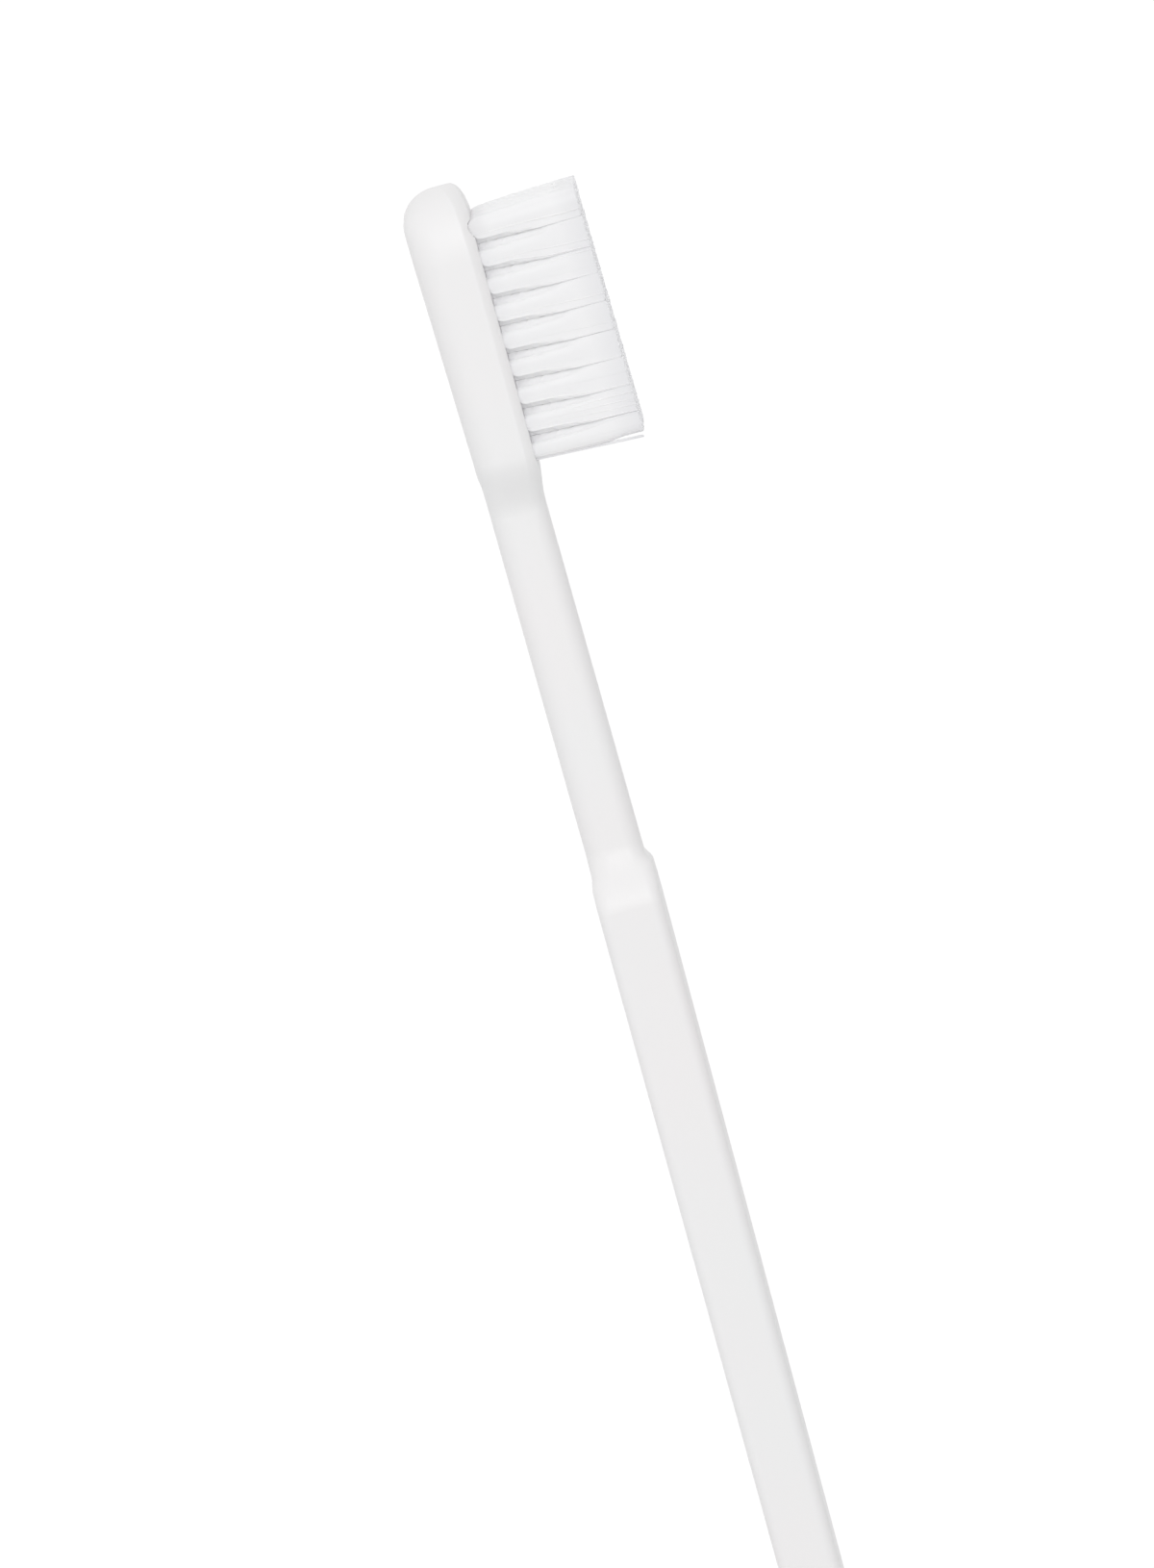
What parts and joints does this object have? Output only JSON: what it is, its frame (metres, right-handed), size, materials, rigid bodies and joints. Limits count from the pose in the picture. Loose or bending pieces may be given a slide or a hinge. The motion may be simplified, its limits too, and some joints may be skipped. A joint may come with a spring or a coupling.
{
  "type": "toothbrush",
  "caption": "Manual toothbrush: slim straight handle with a stepped shoulder, narrow neck, rounded head and flat-trimmed bristle tufts.",
  "frame": {"origin": "middle of the handle's flat back face, on its surface", "axes": "+X from the head to the end of the handle, +Y across the brush, +Z from its back towards the bristle tips"},
  "size_m": [0.184, 0.0108, 0.0156],
  "materials": {
    "body_plastic": "satin white moulded plastic",
    "bristle_nylon": "translucent white nylon filament",
    "plate_brass": "plain drawn wire"
  },
  "bodies": {
    "root": {"brush_body": "body_plastic", "tuft_1a": "bristle_nylon", "tuft_1b": "bristle_nylon", "tuft_1c": "bristle_nylon", "tuft_1d": "bristle_nylon", "tuft_2a": "bristle_nylon", "tuft_2b": "bristle_nylon", "tuft_2c": "bristle_nylon", "tuft_2d": "bristle_nylon", "tuft_3a": "bristle_nylon", "tuft_3b": "bristle_nylon", "tuft_3c": "bristle_nylon", "tuft_3d": "bristle_nylon", "tuft_4a": "bristle_nylon", "tuft_4b": "bristle_nylon", "tuft_4c": "bristle_nylon", "tuft_4d": "bristle_nylon", "tuft_5a": "bristle_nylon", "tuft_5b": "bristle_nylon", "tuft_5c": "bristle_nylon", "tuft_5d": "bristle_nylon", "tuft_6a": "bristle_nylon", "tuft_6b": "bristle_nylon", "tuft_6c": "bristle_nylon", "tuft_6d": "bristle_nylon", "tuft_7a": "bristle_nylon", "tuft_7b": "bristle_nylon", "tuft_7c": "bristle_nylon", "tuft_7d": "bristle_nylon", "tuft_8a": "bristle_nylon", "tuft_8b": "bristle_nylon", "tuft_8c": "bristle_nylon", "tuft_8d": "bristle_nylon", "tuft_9a": "bristle_nylon", "tuft_9b": "bristle_nylon", "tuft_9c": "bristle_nylon", "tuft_9d": "bristle_nylon", "anchor_plates_row_1": "plate_brass", "anchor_plates_row_2": "plate_brass", "anchor_plates_row_3": "plate_brass", "anchor_plates_row_4": "plate_brass", "anchor_plates_row_5": "plate_brass", "anchor_plates_row_6": "plate_brass", "anchor_plates_row_7": "plate_brass", "anchor_plates_row_8": "plate_brass", "anchor_plates_row_9": "plate_brass"}
  },
  "joints": []
}
